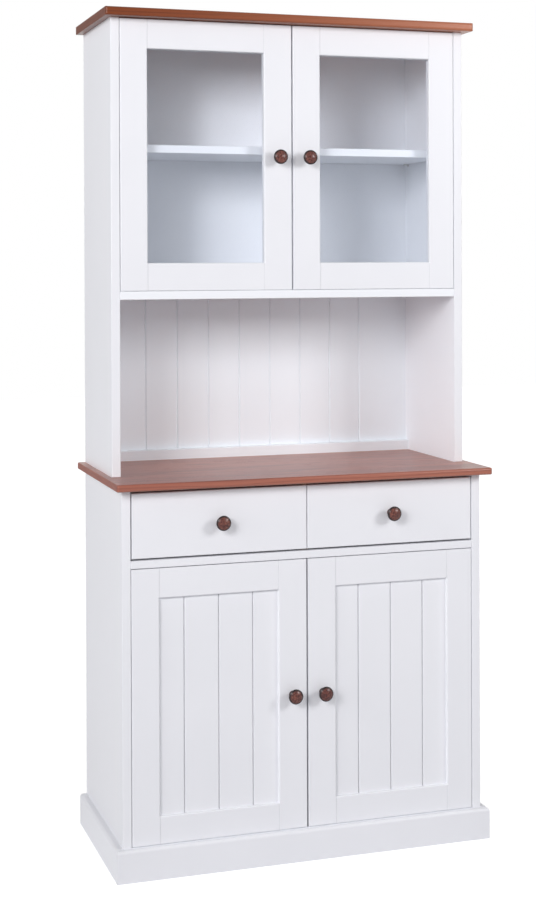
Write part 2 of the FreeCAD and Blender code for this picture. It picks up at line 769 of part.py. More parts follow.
# Stops that the doors' top rails close against
def make_stops():
    right = door_right - stop_inset
    for board, front, ceiling in (("top_board", upper_front, top_under),
                                  ("drawer_deck", lower_front, deck_under)):
        stop_front = front + door_thickness + stop_gap
        stop_under = ceiling - stop_height
        stop = box(right - stop_width, right, stop_front, stop_front + stop_depth, stop_under, ceiling)
        screw_place = (right - stop_width / 2, stop_front + stop_depth / 2, stop_under)
        screw, hole = sunk_screw(screw_place, (0, 0, 1))
        add_both("door_stops", stop.cut(hole))
        add_both("case_screws", screw)
        drill(board, hole)
        drill(board, mirrored(hole))


# Dowels that hold the boards together
def make_dowels():
    upper_places = (upper_front + dowel_inset, rear_edge - dowel_inset)
    lower_places = (lower_front + dowel_inset, rear_edge - worktop_dowel_inset)
    nodes["case_dowels"] = []
    side_grip = side_thickness - dowel_skin
    top_grip = top_thickness - dowel_skin
    worktop_grip = worktop_thickness - dowel_skin
    deck_grip = deck_thickness - dowel_skin
    plinth_grip = plinth_thickness - dowel_skin
    for y in upper_places:
        add_dowel("upper_{}_side", "upper_floor", (-half_bay, y, upper_floor_middle), (1, 0, 0), side_grip)
        add_dowel("top_board", "upper_{}_side", (side_middle, y, top_under), (0, 0, -1), top_grip)
        add_dowel("worktop", "upper_{}_side", (side_middle, y, worktop_height), (0, 0, 1), worktop_grip)
    for y in lower_places:
        add_dowel("lower_{}_side", "drawer_deck", (-half_bay, y, deck_middle), (1, 0, 0), side_grip)
        add_dowel("lower_{}_side", "lower_bottom", (-half_bay, y, bottom_middle), (1, 0, 0), side_grip)
        add_dowel("worktop", "lower_{}_side", (side_middle, y, worktop_under), (0, 0, -1), worktop_grip)
        add_dowel("worktop", "drawer_partition", (0, y, worktop_under), (0, 0, -1), worktop_grip)
        add_dowel("drawer_deck", "drawer_partition", (0, y, deck_top), (0, 0, 1), deck_grip)
    rail_middle = worktop_height + niche_rail_height / 2
    rail_joint = (-half_bay, rear_edge - niche_rail_thickness / 2, rail_middle)
    add_dowel("upper_{}_side", "niche_rail", rail_joint, (1, 0, 0), side_grip)
    corner_joint = (side_middle, lower_front, plinth_dowel_height)
    add_dowel("plinth_front", "lower_{}_side", corner_joint, (0, 1, 0), plinth_grip)
    bottom_joint = (-plinth_dowel_spacing / 2, lower_front, bottom_middle)
    add_dowel("plinth_front", "lower_bottom", bottom_joint, (0, 1, 0), plinth_grip)
    for y in (lower_front + plinth_dowel_inset, rear_edge - plinth_dowel_inset):
        side_joint = (-half_case, y, plinth_dowel_height)
        add_dowel("plinth_sides", "lower_{}_side", side_joint, (1, 0, 0), plinth_grip, side_grip)


def add_dowel(board, mate, joint, direction, board_grip, mate_grip=dowel_grip):
    """Dowel across a joint from the board into the mate, and its twin unless it is in the middle."""
    start = [place - step * board_grip for place, step in zip(joint, direction)]
    hole_start = [place - step * hole_clearance for place, step in zip(start, direction)]
    length = board_grip + mate_grip
    dowel = rod(start, direction, dowel_radius, length)
    hole = rod(hole_start, direction, dowel_radius + hole_clearance, length + 2 * hole_clearance)
    twins = [("left", dowel, hole)]
    if joint[0] != 0:
        twins.append(("right", mirrored(dowel), mirrored(hole)))
    for side, solid, tool in twins:
        nodes["case_dowels"].append(solid)
        drill(board.format(side), tool)
        drill(mate.format(side), tool)


# Nails through the back boards, driven flush
def make_nails():
    nodes["back_nails"] = []
    for board, stage, low, high in (("lower_back", "lower", bottom_under, worktop_under),
                                    ("niche_back", "upper", worktop_height, upper_floor_middle),
                                    ("display_back", "upper", upper_floor_middle, top_under)):
        for z in nail_places(low, high):
            add_nail(board, f"{stage}_left_side", side_middle, z)
            add_nail(board, f"{stage}_right_side", -side_middle, z)
    for x in nail_places(-half_bay, half_bay):
        add_nail("lower_back", "lower_bottom", x, bottom_middle)
        add_nail("lower_back", "drawer_deck", x, deck_middle)
        add_nail("niche_back", "upper_floor", x, upper_floor_middle - nail_edge)
        add_nail("display_back", "upper_floor", x, upper_floor_middle + nail_edge)


def nail_places(low, high):
    """Even places along a board's edge, clear of its ends."""
    span = high - low - 2 * nail_inset
    gaps = max(1, round(span / nail_spacing))
    return [low + nail_inset + i * span / gaps for i in range(gaps + 1)]


def add_nail(board, mate, x, z):
    """Nail through a back board into the rear edge of its mate."""
    place = (x, rear_face, z)
    shank = rod(place, (0, -1, 0), nail_radius, nail_length)
    head = rod(place, (0, -1, 0), nail_head_radius, nail_head_height)
    bore = rod(place, (0, -1, 0), nail_radius + hole_clearance, nail_length + hole_clearance)
    counterbore = rod(place, (0, -1, 0), nail_head_radius + hole_clearance, nail_head_height)
    hole = joined(bore, counterbore)
    nodes["back_nails"].append(joined(shank, head))
    drill(board, hole)
    drill(mate, hole)


make_plinth()
make_case()
make_shelves()
make_doors()
make_drawers()
make_stops()
make_dowels()
make_nails()

os.makedirs("parts", exist_ok=True)
for name, solids in nodes.items():
    Part.makeCompound(solids).exportStep(f"parts/{name}.step")
print(len(nodes), "nodes,", sum(len(solids) for solids in nodes.values()), "solids")
print("hinge pins at x", half_bay - hinge_gap - pin_setback, "upper y", upper_front + pin_depth,
      "lower y", lower_front + pin_depth)
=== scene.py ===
# %% [markdown]
# # A painted buffet cabinet
# The cabinet is a glazed hutch on a base with drawers and panelled doors. Its boards, hinges and
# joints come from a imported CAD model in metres, so this lesson leaves their shapes and places alone.
# It adds what that model can't hold: the finish of every surface, turned knobs, screw heads,
# the light and the camera.

# %% Load the frame
import math

import bmesh
import bpy
from mathutils import Matrix, Vector


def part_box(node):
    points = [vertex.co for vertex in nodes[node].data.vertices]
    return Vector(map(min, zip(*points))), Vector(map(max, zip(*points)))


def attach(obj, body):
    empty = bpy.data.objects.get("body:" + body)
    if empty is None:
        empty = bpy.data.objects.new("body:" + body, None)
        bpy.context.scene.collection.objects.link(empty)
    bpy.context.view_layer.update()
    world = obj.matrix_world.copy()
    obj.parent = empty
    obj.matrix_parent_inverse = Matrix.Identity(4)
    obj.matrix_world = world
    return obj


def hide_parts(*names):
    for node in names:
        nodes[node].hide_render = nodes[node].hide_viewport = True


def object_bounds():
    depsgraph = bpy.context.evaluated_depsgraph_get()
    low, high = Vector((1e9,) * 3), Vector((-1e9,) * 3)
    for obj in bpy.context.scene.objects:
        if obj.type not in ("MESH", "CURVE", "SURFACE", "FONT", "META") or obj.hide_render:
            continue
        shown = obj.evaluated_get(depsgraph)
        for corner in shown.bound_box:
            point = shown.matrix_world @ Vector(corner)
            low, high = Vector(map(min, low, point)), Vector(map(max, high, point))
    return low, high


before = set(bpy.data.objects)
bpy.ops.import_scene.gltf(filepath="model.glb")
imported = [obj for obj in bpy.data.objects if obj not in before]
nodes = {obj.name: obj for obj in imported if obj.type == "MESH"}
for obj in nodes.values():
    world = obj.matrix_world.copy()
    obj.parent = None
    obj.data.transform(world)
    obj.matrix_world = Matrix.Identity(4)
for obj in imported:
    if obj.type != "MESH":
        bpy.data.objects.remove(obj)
cad_low, cad_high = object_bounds()
scene = bpy.context.scene
print(len(nodes), "boards and fittings,", [round(v, 3) for v in cad_high - cad_low], "m overall")

# %% [markdown]
# ## Camera
# The picture was taken from the left, 1.3 m above the floor, with upright lines kept upright. A camera
# that tilts down would make them lean, so this one stays almost level and shifts its frame down
# instead, as a view camera does. Its place and lens were fitted to the cabinet's straight edges, with
# lengths in pixels of the picture. The frame is taller than it is wide, so lens and shift are shares
# of its height.

# %% Place the camera
frame_width, frame_height = 536, 899
focal_length = 1584.7
principal_x, principal_y = 259.7, 272.9
camera_place = Vector((-1.1816, -3.4957, 1.3242))
camera_yaw, camera_pitch, camera_roll = (math.radians(angle) for angle in (17.91, -0.32, 0.21))
sensor_width = 36.0

lens = bpy.data.cameras.new("camera")
lens.sensor_width = sensor_width
lens.lens = sensor_width * focal_length / frame_height
lens.shift_x = (frame_width / 2 - principal_x) / frame_height
lens.shift_y = (principal_y - frame_height / 2) / frame_height
camera = bpy.data.objects.new("camera", lens)
turn = Matrix.Rotation(-camera_yaw, 4, "Z")
tilt = Matrix.Rotation(math.pi / 2 + camera_pitch, 4, "X")
roll = Matrix.Rotation(-camera_roll, 4, "Z")
camera.matrix_world = Matrix.Translation(camera_place) @ turn @ tilt @ roll
scene.collection.objects.link(camera)
scene.camera = camera
print("lens", round(lens.lens, 2), "mm, shift", round(lens.shift_x, 3), round(lens.shift_y, 3))

# %% [markdown]
# ## Node helpers
# Every finish below is a small network of shader nodes. It could be drawn by hand in the shader
# editor, but written out link by link it would be long. These helpers keep it short: they add a node
# with its inputs filled or linked, do sums with values and vectors, mix two colours, and move a value
# from one range to another. The Mix node has sockets for every kind of data, so its colour sockets are
# found by number.

# %% Node helpers
mix_factor, mix_first, mix_second, mix_result = 0, 6, 7, 2


def add_node(tree, kind, inputs=None, **settings):
    """A node with its settings made and its inputs filled or linked."""
    made = tree.nodes.new(kind)
    for name, value in settings.items():
        setattr(made, name, value)
    for name, value in (inputs or {}).items():
        if isinstance(value, bpy.types.NodeSocket):
            tree.links.new(value, made.inputs[name])
        else:
            made.inputs[name].default_value = value
    return made


def math_node(tree, operation, first, second=0.0):
    """The result of a sum with one or two values."""
    return add_node(tree, "ShaderNodeMath", {0: first, 1: second}, operation=operation).outputs[0]


def vector_node(tree, operation, first, second=(0.0, 0.0, 0.0)):
    """A sum with one or two vectors, which puts out a vector or a value."""
    return add_node(tree, "ShaderNodeVectorMath", {0: first, 1: second}, operation=operation)


def mix_colours(tree, factor, first, second):
    """A mix of two colours, from the first at 0 to the second at 1."""
    inputs = {mix_factor: factor}
    for socket, colour in ((mix_first, first), (mix_second, second)):
        inputs[socket] = colour if isinstance(colour, bpy.types.NodeSocket) else (*colour, 1.0)
    return add_node(tree, "ShaderNodeMix", inputs, data_type="RGBA").outputs[mix_result]


def remap(tree, value, low, high, from_low=0.0, from_high=1.0):
    """A value moved from one range to another."""
    inputs = {"Value": value, "From Min": from_low, "From Max": from_high, "To Min": low, "To Max": high}
    return add_node(tree, "ShaderNodeMapRange", inputs).outputs["Result"]


print("helpers for nodes, sums, colours and ranges")

# %% [markdown]
# ## World
# The picture is lit softly from all round. A picture of a studio could light the scene, but a few
# broad glows need no file and are easy to steer: a strong one from the left, a weak one from the front
# and one from behind that only lights the rear. Each is a round patch of sky that fades to its edge.
# Rays from the camera, from gloss and through glass see an even white backdrop instead, so the
# background stays white and no patch shows in the lacquer.

# %% World
white_light = (1.0, 1.0, 1.0, 1.0)
fill_colour = (0.975, 0.975, 1.0, 1.0)
glow_edge = 0.8
seen_rays = ("Is Camera Ray", "Is Glossy Ray", "Is Transmission Ray")
# Azimuth and elevation in degrees, and strength.
glows = ((-72.0, 10.0, 2.70), (0.0, 8.0, 0.85), (155.0, 16.0, 1.20))


def towards(azimuth, elevation):
    """A unit vector from the cabinet to a light, with azimuth 0 straight in front and 90 to the right."""
    around, up = math.radians(azimuth), math.radians(elevation)
    return Vector((math.sin(around) * math.cos(up), -math.cos(around) * math.cos(up), math.sin(up)))


def ray_is(tree, *kinds):
    """A mask that is 1 for a ray of any of the kinds named."""
    path = add_node(tree, "ShaderNodeLightPath")
    found = path.outputs[kinds[0]]
    for kind in kinds[1:]:
        found = math_node(tree, "MAXIMUM", found, path.outputs[kind])
    return found


world = bpy.data.worlds.new("studio")
world.use_nodes = True
scene.world = world
tree = world.node_tree
tree.nodes.clear()
direction = add_node(tree, "ShaderNodeTexCoord").outputs["Generated"]
fill_strength = 0.0
for azimuth, elevation, strength in glows:
    facing = vector_node(tree, "DOT_PRODUCT", direction, towards(azimuth, elevation)).outputs["Value"]
    glow = remap(tree, facing, 0.0, strength, glow_edge, 1.0)
    fill_strength = math_node(tree, "ADD", glow, fill_strength)
seen = ray_is(tree, *seen_rays)
fill = add_node(tree, "ShaderNodeBackground", {"Color": fill_colour, "Strength": fill_strength})
backdrop = add_node(tree, "ShaderNodeBackground", {"Color": white_light, "Strength": 1.0})
mixed = add_node(tree, "ShaderNodeMixShader", {0: seen, 1: fill.outputs[0], 2: backdrop.outputs[0]})
add_node(tree, "ShaderNodeOutputWorld", {"Surface": mixed.outputs[0]})
scene.view_settings.view_transform = "Standard"
print("world with", len(glows), "glows")

# %% [markdown]
# ## Soft boxes
# Each knob in the picture throws one soft shadow to the left and one to the right, so there is a lamp
# on either side of the viewer. Point lamps would give hard shadows. Two square area lamps of a little
# over a metre, 4 m away and higher than the cabinet, give the same soft edges.

# %% Soft boxes
box_aim = Vector((0.0, -0.1, 1.05))
box_distance = 4.0
box_size = 1.2
box_colour = (1.0, 0.99, 1.0)
# Name, azimuth and elevation in degrees, and power in watts.
boxes = (("left_box", -44.0, 18.5, 65.0), ("right_box", 42.0, 18.5, 60.0))
for name, azimuth, elevation, power in boxes:
    lamp = bpy.data.lights.new(name, "AREA")
    lamp.shape = "SQUARE"
    lamp.size = box_size
    lamp.energy = power
    lamp.color = box_colour
    soft_box = bpy.data.objects.new(name, lamp)
    away = towards(azimuth, elevation)
    soft_box.location = box_aim + away * box_distance
    soft_box.rotation_euler = away.to_track_quat("Z", "Y").to_euler()
    scene.collection.objects.link(soft_box)
print(len(boxes), "soft boxes at", box_distance, "m")

# %% [markdown]
# ## Floor
# The cabinet stands on a plain pale sheet. To make the sheet white with lamps alone would burn out
# the cabinet too. So it is a matt grey for the light that it sends back, and for the same rays that see
# the backdrop it also glows up to white, a little less close to the cabinet, where a faint shadow stays
# round the plinth.

# %% Floor
floor_half = 12.0
floor_albedo = (0.56, 0.56, 0.58, 1.0)
lift_near, lift_far = 0.85, 1.0
near_edge, far_edge = 0.5, 1.6
shape = bmesh.new()
bmesh.ops.create_grid(shape, x_segments=1, y_segments=1, size=floor_half)
floor_mesh = bpy.data.meshes.new("floor")
shape.to_mesh(floor_mesh)
shape.free()
floor = bpy.data.objects.new("floor", floor_mesh)
scene.collection.objects.link(floor)
floor_finish = bpy.data.materials.new("studio_floor")
floor_finish.use_nodes = True
tree = floor_finish.node_tree
tree.nodes.clear()
place = add_node(tree, "ShaderNodeTexCoord").outputs["Object"]
away = vector_node(tree, "LENGTH", place).outputs["Value"]
fade = remap(tree, away, lift_near, lift_far, near_edge, far_edge)
lift = math_node(tree, "MULTIPLY", ray_is(tree, *seen_rays), fade)
matt = add_node(tree, "ShaderNodeBsdfDiffuse", {"Color": floor_albedo})
glow = add_node(tree, "ShaderNodeEmission", {"Color": white_light, "Strength": lift})
both = add_node(tree, "ShaderNodeAddShader", {0: matt.outputs[0], 1: glow.outputs[0]})
add_node(tree, "ShaderNodeOutputMaterial", {"Surface": both.outputs[0]})
floor_mesh.materials.append(floor_finish)
print("floor", 2 * floor_half, "m across")

# %% [markdown]
# ## Wood figure
# Wood shows three things at once: growth rings, which are long lines on a board's face and arcs on
# its end, fine fibres, and slow changes of tone. All of it runs along the grain. A picture of a board
# would have to be fitted to every face, but a pattern in space is cut by each face as a saw cuts
# a log. One node group makes the three from a point whose X is along the grain, and every
# wooden finish uses it: strongly under clear lacquer and faintly under paint.

# %% Wood figure group
drift_along, drift_across, drift_detail, drift_reach = 1.2, 9.0, 2.0, 0.05
ring_along, ring_waver, ring_detail, ring_detail_scale = 0.06, 1.2, 2.0, 1.5
fibre_along, fibre_across, fibre_detail = 14.0, 620.0, 3.0
tone_along, tone_across, tone_detail = 1.5, 16.0, 2.0


def new_group(name, inputs, outputs):
    """An empty shader group with named sockets, and its input and output nodes."""
    group = bpy.data.node_groups.new(name, "ShaderNodeTree")
    for socket, kind in inputs:
        group.interface.new_socket(name=socket, in_out="INPUT", socket_type=kind)
    for socket in outputs:
        group.interface.new_socket(name=socket, in_out="OUTPUT", socket_type="NodeSocketFloat")
    return group, group.nodes.new("NodeGroupInput"), group.nodes.new("NodeGroupOutput")


def stretched(tree, point, along, across):
    """A point with its grain direction scaled apart from the other two."""
    return vector_node(tree, "MULTIPLY", point, (along, across, across)).outputs["Vector"]


def noise(tree, point, scale, detail):
    """Even noise of a given fineness."""
    return add_node(tree, "ShaderNodeTexNoise", {"Vector": point, "Scale": scale, "Detail": detail})


def grain_noise(tree, point, along, across, detail):
    """Noise that is finer across the grain than along it."""
    return noise(tree, stretched(tree, point, along, across), 1.0, detail)


sockets = [("Point", "NodeSocketVector"), ("Ring Scale", "NodeSocketFloat")]
wood_figure, given, result = new_group("wood_figure", sockets, ["Rings", "Fibre", "Tone"])
point = given.outputs["Point"]
drift = grain_noise(wood_figure, point, drift_along, drift_across, drift_detail).outputs["Color"]
centred = vector_node(wood_figure, "SUBTRACT", drift, (0.5, 0.5, 0.5)).outputs["Vector"]
pushed = stretched(wood_figure, centred, 0.0, drift_reach)
bent = vector_node(wood_figure, "ADD", stretched(wood_figure, point, ring_along, 1.0), pushed)
ring_inputs = {"Vector": bent.outputs["Vector"], "Scale": given.outputs["Ring Scale"],
               "Distortion": ring_waver, "Detail": ring_detail, "Detail Scale": ring_detail_scale}
rings = add_node(wood_figure, "ShaderNodeTexWave", ring_inputs,
                 wave_type="RINGS", rings_direction="X", wave_profile="SAW")
fibre = grain_noise(wood_figure, point, fibre_along, fibre_across, fibre_detail)
tone = grain_noise(wood_figure, point, tone_along, tone_across, tone_detail)
for name, pattern in (("Rings", rings), ("Fibre", fibre), ("Tone", tone)):
    wood_figure.links.new(pattern.outputs["Fac"], result.inputs[name])
print("group", wood_figure.name)

# %% [markdown]
# ## Paint film
# Satin paint is not flat: the roller leaves a fine stipple like orange peel, and the film is a touch
# thicker here and thinner there, which shows as slow changes of gloss. Modelled stipple would take
# millions of faces, so a second group makes it and the film from noise, for bump, shade and
# gloss.

# %% Paint film group
stipple_scale, stipple_detail = 520.0, 2.0
film_scale, film_detail = 5.0, 3.0
paint_film, given, result = new_group("paint_film", [("Point", "NodeSocketVector")], ["Stipple", "Film"])
point = given.outputs["Point"]
stipple = noise(paint_film, point, stipple_scale, stipple_detail)
film = noise(paint_film, point, film_scale, film_detail)
for name, pattern in (("Stipple", stipple), ("Film", film)):
    paint_film.links.new(pattern.outputs["Fac"], result.inputs[name])
print("group", paint_film.name)

# %% [markdown]
# ## Finishes
# A finish starts from Object coordinates, which are the cabinet's own metres because every piece sits
# at the origin. For wood, a Mapping node turns them so that X runs along the grain of that board and
# moves the pith, the middle of the rings, 9 cm aside. A finish can be laid over another one: a mask says
# where its colour takes the place of the one below.

# %% Finish helpers
quarter = math.pi / 2
along_x, along_y, along_z = (0.0, 0.0, 0.0), (0.0, 0.0, -quarter), (0.0, quarter, 0.0)
pith = (0.0, 0.0, 0.09)


def new_finish(name):
    """A material with an empty network and its Principled shader."""
    finish = bpy.data.materials.new(name)
    finish.use_nodes = True
    tree = finish.node_tree
    tree.nodes.clear()
    shader = tree.nodes.new("ShaderNodeBsdfPrincipled")
    add_node(tree, "ShaderNodeOutputMaterial", {"Surface": shader.outputs[0]})
    return finish, tree, shader


def find_node(finish, kind):
    """The first node of a kind in a finish."""
    return next(node for node in finish.node_tree.nodes if node.type == kind)


def object_point(tree):
    """A point in the cabinet's own metres."""
    return add_node(tree, "ShaderNodeTexCoord").outputs["Object"]


def object_axis(tree, axis):
    """One coordinate of a point in the cabinet's own metres."""
    return add_node(tree, "ShaderNodeSeparateXYZ", {0: object_point(tree)}).outputs[axis]


def from_middle(tree):
    """Distance from the cabinet's middle, to the left or to the right."""
    return math_node(tree, "ABSOLUTE", object_axis(tree, "X"))


def grain_point(tree, direction):
    """A point turned so that X is along the grain, with the pith moved aside."""
    inputs = {"Vector": object_point(tree), "Location": pith, "Rotation": direction}
    return add_node(tree, "ShaderNodeMapping", inputs).outputs[0]


def use_group(tree, group, inputs):
    """A group placed in a finish, with its own values."""
    return add_node(tree, "ShaderNodeGroup", inputs, node_tree=group)


def bump(tree, shader, height, strength, distance):
    """Fine relief from a height."""
    inputs = {"Height": height, "Strength": strength, "Distance": distance}
    tree.links.new(add_node(tree, "ShaderNodeBump", inputs).outputs[0], shader.inputs["Normal"])


def lay_over(finish, mask, colour):
    """A colour over the base colour of a finish, where a mask is 1."""
    base = find_node(finish, "BSDF_PRINCIPLED").inputs["Base Color"]
    below = base.links[0].from_socket
    finish.node_tree.links.new(mix_colours(finish.node_tree, mask, below, colour), base)


print("grain along X, Y and Z, pith", pith[2], "m aside")

# %% [markdown]
# ## White paint
# The cabinet is painted in satin white. One flat white would look like plastic, so the film group
# varies shade and gloss a little, and the wood's fibres show through faintly in colour and relief. White
# boards come in three grain directions. The boards inside the case and the inner faces of the case sides
# get a lighter, bluer copy of the paint. The niche gets a bluer one still, against the warm light that the
# worktop throws up. This is painted light, which stands in for light that the inside lacks.

# %% White paint
outer_shades = (0.870, 0.878, 0.912), (0.890, 0.897, 0.930)
# Lighter, bluer copies of the same paint for the inside, and bluer still for the niche: painted light.
lit_inner_shades = (0.918, 0.938, 0.976), (0.936, 0.954, 0.990)
lit_niche_shades = (0.895, 0.938, 0.982), (0.913, 0.954, 0.992)
noise_low, noise_high = 0.3, 0.7
ghost_depth, ghost_low, ghost_high = 0.12, 0.45, 0.75
paint_gloss, paint_dull = 0.34, 0.46
fibre_share, paint_relief, paint_relief_depth = 0.7, 0.10, 0.0004
bay_margin = 0.0002


def white_paint(name, direction, shades=outer_shades):
    """Satin white paint over wood, from a thin to a full film."""
    paint_thin, paint_full = shades
    finish, tree, shader = new_finish(name)
    point = grain_point(tree, direction)
    fibre = use_group(tree, wood_figure, {"Point": point}).outputs["Fibre"]
    paint = use_group(tree, paint_film, {"Point": point})
    film, stipple = paint.outputs["Film"], paint.outputs["Stipple"]
    colour = mix_colours(tree, remap(tree, film, 0.0, 1.0, noise_low, noise_high), paint_thin, paint_full)
    ghost = remap(tree, fibre, 0.0, ghost_depth, ghost_low, ghost_high)
    tree.links.new(mix_colours(tree, ghost, colour, paint_thin), shader.inputs["Base Color"])
    tree.links.new(remap(tree, film, paint_gloss, paint_dull), shader.inputs["Roughness"])
    height = math_node(tree, "ADD", stipple, math_node(tree, "MULTIPLY", fibre, fibre_share))
    bump(tree, shader, height, paint_relief, paint_relief_depth)
    return finish


white_upright = white_paint("white_upright", along_z)
white_across = white_paint("white_across", along_x)
white_deep = white_paint("white_deep", along_y)
white_inside_lit = white_paint("white_inside_lit", along_x, lit_inner_shades)
white_niche_lit = white_paint("white_niche_lit", along_x, lit_niche_shades)
# The inner faces of the case sides get the lighter inside paint: painted light.
white_case_lit_inside = white_paint("white_case_lit_inside", along_z)
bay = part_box("niche_rail")[1].x + bay_margin
tree = white_case_lit_inside.node_tree
lay_over(white_case_lit_inside, math_node(tree, "LESS_THAN", from_middle(tree), bay), lit_inner_shades[1])
print("white paint, lighter within", round(bay, 4), "m of the middle")

# %% [markdown]
# ## Lines in the paint
# On the door frames the paint has a hairline where rail meets stile, and on the boarded panels a dark
# seam at the root of each groove. The seam is partly the joint of the boards and partly painted shade for
# the depth of the groove. They could be cut into the meshes, but the CAD boards stay as they are, so
# lines that fine are drawn in the paint, at their distance from the cabinet's middle. This puts them on
# the left and right doors alike.

# %% Lines in the paint
line_colour, line_core = (0.45, 0.45, 0.48), 0.4
joint_depth, joint_reach = 0.3, 0.0010
# Seams at the groove roots: a board joint plus painted shade.
seam_shade_depth, seam_shade_reach = 0.8, 0.0011
glass_bearing = 0.0075
board_width = 0.0784


def draw_lines(finish, places, depth, reach):
    """A dark line in a finish at each distance from the cabinet's middle."""
    tree = finish.node_tree
    off_centre = from_middle(tree)
    for place in places:
        aside = math_node(tree, "ABSOLUTE", math_node(tree, "SUBTRACT", off_centre, place))
        lay_over(finish, remap(tree, aside, depth, 0.0, line_core * reach, reach), line_colour)


pane_low, pane_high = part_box("upper_left_door_glass")
door_joints = (-(pane_low.x + glass_bearing), -(pane_high.x - glass_bearing))
panel_low, panel_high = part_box("lower_left_door_panel")
panel_middle = -(panel_low.x + panel_high.x) / 2
seams_and_groove_shade = (panel_middle - board_width, panel_middle, panel_middle + board_width)
white_rail = white_paint("white_rail", along_x)
draw_lines(white_rail, door_joints, joint_depth, joint_reach)
white_panel = white_paint("white_panel", along_z)
draw_lines(white_panel, seams_and_groove_shade, seam_shade_depth, seam_shade_reach)
print("rail joints at", [round(joint, 4) for joint in door_joints], "m from the middle, seams at",
      [round(seam, 4) for seam in seams_and_groove_shade])

# %% [markdown]
# ## Bare and stained wood
# The drawer boxes and what carries them are bare pine, and the worktop, the top board and the knobs are
# stained and lacquered. Stain could be one brown with some noise, but real stain sits deeper in the late
# wood of each ring and in the pores. So a wood has three colours, and rings, tone and fibres of the wood
# figure choose between them.

# %% Bare wood
pine = (0.78, 0.55, 0.31), (0.70, 0.45, 0.22), (0.48, 0.25, 0.10)
pine_rings, pine_rough, pine_pores = 36.0, 0.55, 0.6
ring_depth, ring_start = 0.55, 0.55
pore_low, pore_high = 0.56, 0.72
rough_spread = 1.2
pore_relief, pore_relief_depth = 0.2, 0.0003


def clear_wood(name, direction, colours, ring_scale, rough, pores_depth):
    """Wood that shows its figure, from pale early wood to dark late wood."""
    pale, mid, dark = colours
    finish, tree, shader = new_finish(name)
    wood = use_group(tree, wood_figure, {"Point": grain_point(tree, direction), "Ring Scale": ring_scale})
    rings, fibre, tone = (wood.outputs[pattern] for pattern in ("Rings", "Fibre", "Tone"))
    colour = mix_colours(tree, remap(tree, tone, 0.0, 1.0, noise_low, noise_high), pale, mid)
    colour = mix_colours(tree, remap(tree, rings, 0.0, ring_depth, ring_start, 1.0), colour, dark)
    colour = mix_colours(tree, remap(tree, fibre, 0.0, pores_depth, pore_low, pore_high), colour, dark)
    tree.links.new(colour, shader.inputs["Base Color"])
    dullness = remap(tree, fibre, rough, rough * rough_spread, noise_low, noise_high)
    tree.links.new(dullness, shader.inputs["Roughness"])
    bump(tree, shader, fibre, pore_relief * pores_depth, pore_relief_depth)
    return finish


pine_x = clear_wood("pine_x", along_x, pine, pine_rings, pine_rough, pine_pores)
pine_y = clear_wood("pine_y", along_y, pine, pine_rings, pine_rough, pine_pores)
print("bare pine along X and Y")

# %% [markdown]
# ## Worktop and top board
# Both boards are stained a reddish brown. The top board looks dark at its left end and paler to the
# right because of how the light falls on it, so a paler colour is laid over it by length: painted light,
# not a change of stain. At the end faces the open pores drink in more stain than lacquer, so the ends
# are darker and duller. The ends could have a finish of their own, but a mask by length needs no sorting
# of faces and follows the rounded edges.

# %% Worktop and top board
worktop_stain = (0.44, 0.148, 0.092), (0.33, 0.100, 0.062), (0.17, 0.046, 0.030)
top_stain = (0.22, 0.044, 0.005), (0.17, 0.032, 0.004), (0.08, 0.015, 0.003)
board_rings = 30.0
worktop_rough, worktop_pores = 0.27, 0.25
top_rough, top_pores, top_gloss = 0.26, 0.4, 0.33
# A paler colour that grows towards the top board's right end: painted light.
rightward_painted_light, painted_light_gather = (0.47, 0.158, 0.078), 1.4
end_depth, end_round, end_rough = 0.6, 0.0022, 0.5


def stain_ends(finish, node, dark):
    """Darker, duller stain on the two end faces of a board along X, where open pores drink it in."""
    tree = finish.node_tree
    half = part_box(node)[1].x
    soaked = remap(tree, from_middle(tree), 0.0, end_depth, half - end_round, half)
    lay_over(finish, soaked, dark)
    rough = find_node(finish, "BSDF_PRINCIPLED").inputs["Roughness"]
    added = math_node(tree, "MULTIPLY", soaked, end_rough)
    tree.links.new(math_node(tree, "ADD", rough.links[0].from_socket, added), rough)


worktop_wood = clear_wood("worktop_wood", along_x, worktop_stain, board_rings, worktop_rough, worktop_pores)
stain_ends(worktop_wood, "worktop", worktop_stain[2])
top_wood = clear_wood("top_wood", along_x, top_stain, board_rings, top_rough, top_pores)
tree = top_wood.node_tree
# Painted light: the top board grows paler towards its right end.
rightwards = remap(tree, object_axis(tree, "X"), 0.0, 1.0, cad_low.x, cad_high.x)
lay_over(top_wood, math_node(tree, "POWER", rightwards, painted_light_gather), rightward_painted_light)
find_node(top_wood, "BSDF_PRINCIPLED").inputs["Specular IOR Level"].default_value = top_gloss
stain_ends(top_wood, "top_board", top_stain[2])
print("stained boards, ends darker over", end_round, "m")

# %% [markdown]
# ## Turned wood
# A turned knob shows side grain and end grain by turns, so its stain is blotchy. Its rim looks almost
# black where the edge turns away from the light. That dark is painted shade, as is a lesser dark over
# the stem. A finer figure and a mottle give the blotches. The rim is an attribute of the knob's
# points, because its place differs from knob to knob.

# %% Turned wood
knob_stain = (0.27, 0.095, 0.062), (0.13, 0.034, 0.028), (0.05, 0.012, 0.012)
knob_rings, knob_rough, knob_pores, knob_gloss = 90.0, 0.24, 0.5, 0.35
mottle_scale, mottle_detail = 260.0, 3.0
mottle_depth, mottle_low, mottle_high = 0.85, 0.42, 0.62
rim_shade_colour = (0.020, 0.009, 0.010)
turned_wood = clear_wood("turned_wood", along_z, knob_stain, knob_rings, knob_rough, knob_pores)
tree = turned_wood.node_tree
mottle = noise(tree, object_point(tree), mottle_scale, mottle_detail).outputs["Fac"]
lay_over(turned_wood, remap(tree, mottle, 0.0, mottle_depth, mottle_low, mottle_high), knob_stain[2])
rim = add_node(tree, "ShaderNodeAttribute", attribute_name="rim").outputs["Fac"]
